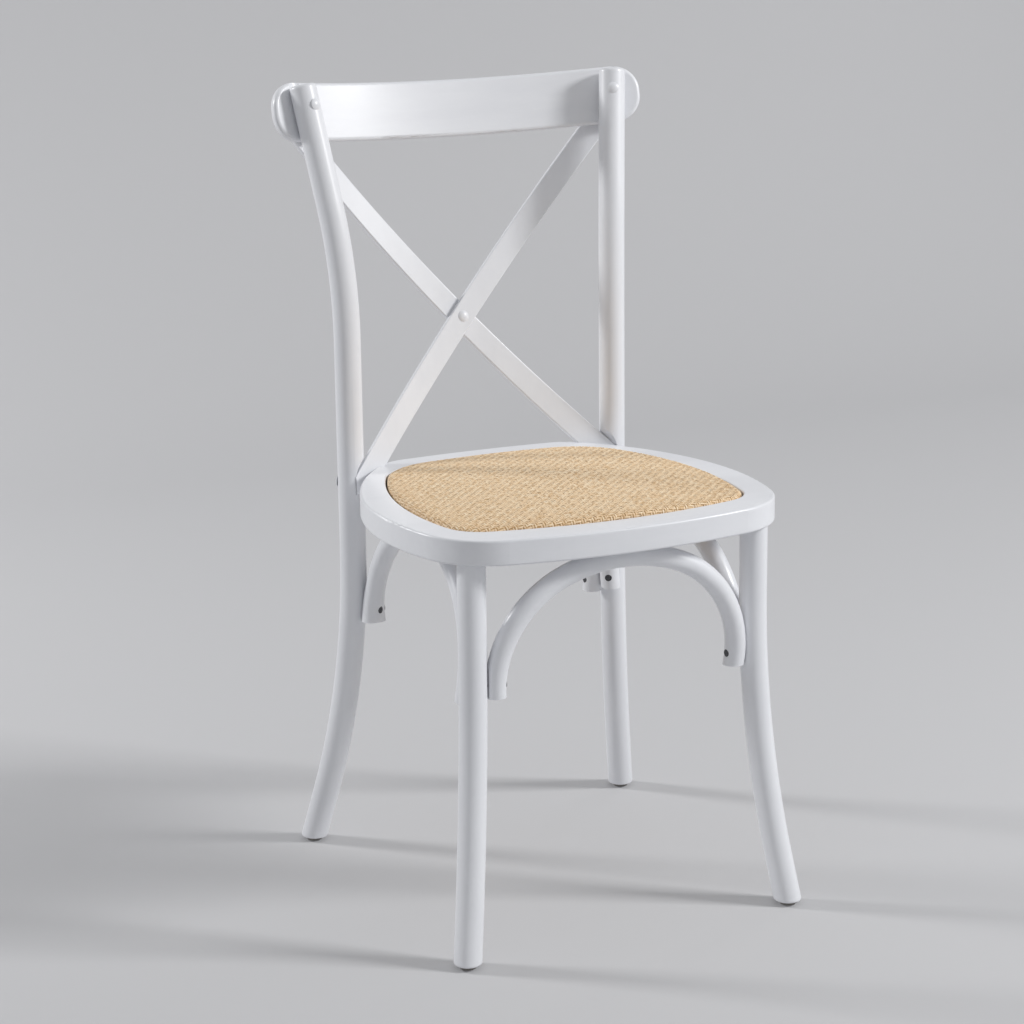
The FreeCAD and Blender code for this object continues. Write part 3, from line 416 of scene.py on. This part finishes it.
def flat_strands(tree, given, middle, half_across, half_along, over, seed):
    """Ridged strands side by side, still flat.

    over is 1 for the strands that run from front to back and -1 for those that run from side to
    side. A grid makes all of one set, and the faces between two strands are taken out.
    """
    pitch = given["Pitch"]
    count = (half_across / pitch).math("CEIL") * 2.0 + 1.0
    rows = (half_along / pitch).math("CEIL") * (2.0 * POINTS_PER_PITCH) + 1.0
    cloth = node(tree, "GeometryNodeMeshGrid", None, {
        "Size X": 1.0, "Size Y": 1.0,
        "Vertices X": count * POINTS_ACROSS, "Vertices Y": rows}, "Mesh")
    index = node(tree, "GeometryNodeInputIndex")
    column = (index / rows).math("FLOOR")
    row = index - column * rows
    strand = (column / POINTS_ACROSS).math("FLOOR")
    side = column - strand * POINTS_ACROSS - 1.0
    number = strand - (count - 1.0) * 0.5
    along = (row - (rows - 1.0) * 0.5) / POINTS_PER_PITCH
    uneven = node(tree, "FunctionNodeRandomValue", {"data_type": "FLOAT"}, {
        2: -1.0, 3: 1.0, "ID": strand + 0.1, "Seed": given["Seed"] + seed}, 1)
    phase = (along - number) if over > 0 else (number - along)
    turned = phase * (math.pi / 2) + math.pi / 4 + uneven * UNEVEN_PHASE
    depth = (turned.math("COSINE") * over * DIVE_SHARPNESS).math("TANH")
    top = (1.0 - side * side * ROUND_FALL) * ROUND_TOP
    lift = (depth * DIVE + top + uneven * UNEVEN_LIFT) * given["Thickness"]
    cross = (number + uneven * UNEVEN_PLACE + side / 2.0 * given["Width"]) * pitch
    run = along * pitch
    facts = {"lift": lift, "strand": uneven * UNEVEN_STRAND + number * STRAND_APART,
             "depth": depth, "along": run * ALONG_UNIT, "across": side, "column": column}
    for name, fact in facts.items():
        cloth = stored(tree, cloth, name, fact)
    x, y = (cross, run) if over > 0 else (run, cross)
    spot = combined(tree, x + middle[0], y + middle[1], 0.0)
    cloth = node(tree, "GeometryNodeSetPosition", None, {"Geometry": cloth, "Position": spot})
    average = node(tree, "GeometryNodeFieldOnDomain", {"data_type": "FLOAT", "domain": "FACE"},
                   {0: read(tree, "column")})
    between = (average - (POINTS_ACROSS - 0.5)).math("FLOORED_MODULO", POINTS_ACROSS)
    return node(tree, "GeometryNodeDeleteGeometry", {"domain": "FACE", "mode": "ALL"},
                {"Geometry": cloth, "Selection": between.math("COMPARE", 0.0, 0.1)})


def rolled_over(tree, given, middle, cloth):
    """Lays flat strands over the crowned top and rolls them down round the outline."""
    position = node(tree, "GeometryNodeInputPosition")
    border = node(tree, "GeometryNodeObjectInfo", None, {"Object": given["Border"]}, "Geometry")
    area = node(tree, "GeometryNodeObjectInfo", None, {"Object": given["Area"]}, "Geometry")
    near = node(tree, "GeometryNodeProximity", {"target_element": "EDGES"},
                {0: border, "Sample Position": position}, None)
    nearest, distance = (Value(tree, near.outputs[name]) for name in ("Position", "Distance"))
    outside = node(tree, "GeometryNodeProximity", {"target_element": "FACES"},
                   {0: area, "Sample Position": position}, "Distance") > OUTSIDE
    sign = 1.0 - outside * 2.0
    inside = distance * sign

    radius = given["Edge round"]
    roll = ((radius - inside) / radius).math("MAXIMUM", 0.0)
    angle = roll.math("MINIMUM", math.pi / 2)
    sine, cosine = angle.math("SINE"), angle.math("COSINE")
    level = roll < LEVEL
    plan = inside.math("MAXIMUM", radius) * level + (radius - radius * sine) * (1.0 - level)
    drop = radius - radius * cosine + (roll - angle) * radius

    away = vector_maths(tree, "SUBTRACT", {0: position, 1: nearest})
    away = vector_maths(tree, "NORMALIZE", {0: away})
    inward = vector_maths(tree, "SCALE", {0: away, "Scale": sign})
    shift = vector_maths(tree, "SCALE", {0: inward, "Scale": plan})
    flat = vector_maths(tree, "ADD", {0: nearest, 1: shift})
    flat_x, flat_y, _ = separated(tree, flat)
    off_x, off_y = flat_x - middle[0], flat_y - middle[1]
    crown = given["Crown radius"]
    sag = crown - (crown * crown - off_x * off_x - off_y * off_y).math("SQRT")
    base = given["Crown height"] - sag - drop

    lift = read(tree, "lift")
    outward = vector_maths(tree, "SCALE", {0: inward, "Scale": lift * sine * -1.0})
    x, y, _ = separated(tree, vector_maths(tree, "ADD", {0: flat, 1: outward}))
    spot = combined(tree, x, y, base + lift * cosine)
    cloth = node(tree, "GeometryNodeDeleteGeometry", {"domain": "POINT", "mode": "ALL"},
                 {"Geometry": cloth, "Selection": (inside + EDGE_TUCK) < 0.0})
    # Nearness to the outline, which deepens the cord's painted shade at the rolled edge.
    cloth = stored(tree, cloth, "edge", (1.0 - inside / EDGE_REACH).math("MAXIMUM", 0.0))
    return node(tree, "GeometryNodeSetPosition", None, {"Geometry": cloth, "Position": spot})


def weave_tree(material):
    """Strands both ways in a two over, two under twill, over a crowned slab and its edge."""
    tree = bpy.data.node_groups.new("weave", "GeometryNodeTree")
    tree.interface.new_socket("Geometry", in_out="OUTPUT", socket_type="NodeSocketGeometry")
    for name, kind in WEAVE_INPUTS:
        tree.interface.new_socket(name, in_out="INPUT", socket_type="NodeSocket" + kind)
    group = node(tree, "NodeGroupInput", output=None)
    given = {name: Value(tree, group.outputs[name]) for name, kind in WEAVE_INPUTS}
    low, high = separated(tree, given["Low"]), separated(tree, given["High"])
    middle = [(low[i] + high[i]) * 0.5 for i in (0, 1)]
    wide, deep = ((high[i] - low[i]) * 0.5 + GRID_SPARE for i in (0, 1))
    lengthways = flat_strands(tree, given, middle, wide, deep, 1.0, 0)
    crossways = flat_strands(tree, given, middle, deep, wide, -1.0, CROSSWAYS_SEED)
    joined = node(tree, "GeometryNodeJoinGeometry", output=None)
    for part in (lengthways, crossways):
        tree.links.new(part.socket, joined.inputs[0])
    cloth = rolled_over(tree, given, middle, Value(tree, joined.outputs[0]))
    for kind, inputs in (("SetShadeSmooth", {"Shade Smooth": True}), ("RealizeInstances", {}),
                         ("SetMaterial", {"Material": material})):
        cloth = node(tree, "GeometryNode" + kind, None, {"Geometry": cloth, **inputs})
    node(tree, "NodeGroupOutput", None, {0: cloth}, None)
    return tree


def grown(name, tree, inputs):
    """Runs a node tree on an empty mesh and keeps the plain mesh that it makes."""
    empty = bpy.data.meshes.new(name)
    item = added(name, empty)
    modifier = item.modifiers.new("made", "NODES")
    modifier.node_group = tree
    keys = {socket.name: socket.identifier for socket in tree.interface.items_tree
            if socket.item_type == "SOCKET" and socket.in_out == "INPUT"}
    for key, value in inputs.items():
        modifier[keys[key]] = value
    item.update_tag()
    graph = bpy.context.evaluated_depsgraph_get()
    mesh = bpy.data.meshes.new_from_object(item.evaluated_get(graph), depsgraph=graph)
    item.modifiers.remove(modifier)
    item.data = mesh
    mesh.name = name
    bpy.data.meshes.remove(empty)
    return item


# Stage

def sweep(name, profile, half_width, material):
    """A backdrop: a profile in the YZ plane, drawn out along X."""
    mesh = bpy.data.meshes.new(name)
    corners = [(x, y, z) for x in (-half_width, half_width) for y, z in profile]
    count = len(profile)
    faces = [(i, i + count, i + count + 1, i + 1) for i in range(count - 1)]
    mesh.from_pydata(corners, [], faces)
    for polygon in mesh.polygons:
        polygon.use_smooth = True
    mesh.materials.append(material)
    return added(name, mesh)


def lamp(name, spot, target, size, power):
    """A square lamp that points at its target."""
    light = bpy.data.lights.new(name, "AREA")
    light.size = size
    light.energy = power
    item = added(name, light)
    item.location = spot
    item.rotation_euler = (Vector(target) - Vector(spot)).to_track_quat("-Z", "Y").to_euler()


def place_camera():
    """The photograph's view."""
    level = math.cos(CAMERA_ELEVATION)
    back = Vector((math.sin(CAMERA_AZIMUTH) * level, -math.cos(CAMERA_AZIMUTH) * level,
                   math.sin(CAMERA_ELEVATION)))
    data = bpy.data.cameras.new("camera")
    data.lens = CAMERA_LENS
    data.sensor_width = CAMERA_SENSOR
    item = added("camera", data)
    turn = back.to_track_quat("Z", "Y").to_matrix().to_4x4()
    turn = turn @ Matrix.Rotation(CAMERA_ROLL, 4, "Z")
    item.matrix_world = Matrix.Translation(CAMERA_TARGET + back * CAMERA_DISTANCE) @ turn
    bpy.context.scene.camera = item


# Add-on

class ChairSettings(bpy.types.PropertyGroup):
    """Sizes and colours of the chair's finishes."""
    paint_colour: FloatVectorProperty(
        name="Paint", description="White paint on the wood", subtype="COLOR", size=3,
        default=(0.797, 0.807, 0.835), min=0.0, max=1.0)
    strand_pitch: FloatProperty(
        name="Strand pitch", description="Distance between two strands of the weave",
        unit="LENGTH", default=0.003, min=0.001, max=0.01)
    strand_width: FloatProperty(
        name="Strand width", description="Width of a strand as a share of the pitch",
        default=0.90, min=0.3, max=1.0)
    strand_thickness: FloatProperty(
        name="Strand thickness", description="Thickness of a strand", unit="LENGTH",
        default=0.0009, min=0.0002, max=0.003)
    edge_round: FloatProperty(
        name="Edge round", description="Radius of the panel's rolled edge", unit="LENGTH",
        default=0.0045, min=0.001, max=0.02)
    crown_radius: FloatProperty(
        name="Crown radius", description="Radius of the panel's crowned top", unit="LENGTH",
        default=3.3)
    weave_seed: IntProperty(
        name="Weave seed", description="Seed of the strands' unevenness", default=4)
    floor_colour: FloatVectorProperty(
        name="Floor", description="Floor and backdrop", subtype="COLOR", size=3,
        default=(0.55, 0.55, 0.56), min=0.0, max=1.0)


def settings():
    return bpy.context.scene.chair


class CHAIR_OT_paint(bpy.types.Operator):
    """Paints the posts, legs, rail, straps, arches and seat ring."""
    bl_idname = "chair.paint"
    bl_label = "Paint wood"

    def execute(self, context):
        colour = settings().paint_colour
        rods = [name for name in NODES if name.startswith(("rear_post", "front_leg"))]
        rods += [name for name in NODES if name.endswith("_arch")]
        upright = painted_wood("white_wood", (6.0, 6.0, 0.8), colour)
        dress(rods + ["strap_front", "strap_rear"], upright)
        level = painted_wood("white_wood_level", (0.8, 6.0, 6.0), colour)
        dress(["top_rail", "seat_ring"], level)
        return {"FINISHED"}


class CHAIR_OT_fasteners(bpy.types.Operator):
    """Finishes the screws, bolts, nuts, caps, glides and seat board."""
    bl_idname = "chair.fasteners"
    bl_label = "Finish fasteners"

    def execute(self, context):
        arch_screws = [name for name in NODES if name.endswith("_arch_screws")]
        plated = [name for name in NODES if "screw" in name or "nut" in name]
        dress([name for name in plated if name not in arch_screws],
              steel("steel", (0.30, 0.30, 0.31), (0.52, 0.52, 0.53)))
        # The arch screws get a darker copy of the steel: painted shade.
        dress(arch_screws, steel("steel_shaded", (0.05, 0.05, 0.055), (0.13, 0.13, 0.135)))
        dress([name for name in NODES if "bolt" in name], cap_paint(settings().paint_colour))
        dress([name for name in NODES if name.startswith("glide")], glide())
        dress(["seat_board"], plain_board())
        return {"FINISHED"}


class CHAIR_OT_weave(bpy.types.Operator):
    """Weaves the seat panel."""
    bl_idname = "chair.weave"
    bl_label = "Weave seat"

    def execute(self, context):
        values = settings()
        proud = values.strand_thickness * PROUD
        radii = [radius - proud for radius in PANEL_RADII]
        points = tangent_arcs(PANEL_FRONT + proud, radii, PANEL_TURNS)
        border = outline_mesh("weave_border", points, False)
        area = outline_mesh("weave_area", points, True)
        panel = grown("woven_panel", weave_tree(woven_cord()), {
            "Border": border, "Area": area, "Pitch": values.strand_pitch,
            "Width": values.strand_width, "Thickness": values.strand_thickness,
            "Edge round": values.edge_round, "Crown radius": values.crown_radius,
            "Crown height": WEAVE_HIGH.z - proud, "Low": tuple(WEAVE_LOW),
            "High": tuple(WEAVE_HIGH), "Seed": values.weave_seed})
        for helper in (border, area):
            bpy.data.objects.remove(helper)
        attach(panel, "root")
        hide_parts("seat_weave")
        return {"FINISHED"}


class CHAIR_OT_stage(bpy.types.Operator):
    """Sets the floor, backdrop, lamps and camera."""
    bl_idname = "chair.stage"
    bl_label = "Set stage"

    def execute(self, context):
        scene = bpy.context.scene
        scene.view_settings.view_transform = "Standard"
        paper = flat_material("backdrop_paper", settings().floor_colour, 0.9)
        profile = [(FLOOR_FRONT, 0.0), (WALL - BEND, 0.0)]
        for i in range(1, BEND_STEPS + 1):
            angle = math.radians(90.0 * i / BEND_STEPS)
            profile.append((WALL - BEND + BEND * math.sin(angle), BEND - BEND * math.cos(angle)))
        profile.append((WALL, WALL_TOP))
        sweep("backdrop", profile, BACKDROP_HALF_WIDTH, paper)
        scene.world = bpy.data.worlds.new("studio")
        scene.world.use_nodes = True
        background = scene.world.node_tree.nodes["Background"]
        background.inputs["Color"].default_value = WORLD_COLOUR
        background.inputs["Strength"].default_value = WORLD_STRENGTH
        for name, spot, target, size, power in LAMPS:
            lamp(name, spot, target, size, power)
        place_camera()
        return {"FINISHED"}


class CHAIR_PT_panel(bpy.types.Panel):
    """Lists the chair's steps and settings."""
    bl_idname = "CHAIR_PT_panel"
    bl_label = "Cross back chair"
    bl_space_type = "VIEW_3D"
    bl_region_type = "UI"
    bl_category = "Chair"

    def draw(self, context):
        values = context.scene.chair
        for name in ChairSettings.__annotations__:
            self.layout.prop(values, name)
        for step in STEPS:
            self.layout.operator(step.bl_idname)


STEPS = (CHAIR_OT_stage, CHAIR_OT_paint, CHAIR_OT_fasteners, CHAIR_OT_weave)
CLASSES = (ChairSettings,) + STEPS + (CHAIR_PT_panel,)


def register():
    for item in CLASSES:
        bpy.utils.register_class(item)
    bpy.types.Scene.chair = PointerProperty(type=ChairSettings)


def unregister():
    del bpy.types.Scene.chair
    for item in reversed(CLASSES):
        bpy.utils.unregister_class(item)


def main():
    """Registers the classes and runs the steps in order."""
    register()
    for step in STEPS:
        group, name = step.bl_idname.split(".")
        getattr(getattr(bpy.ops, group), name)()


if __name__ == "__main__":
    main()
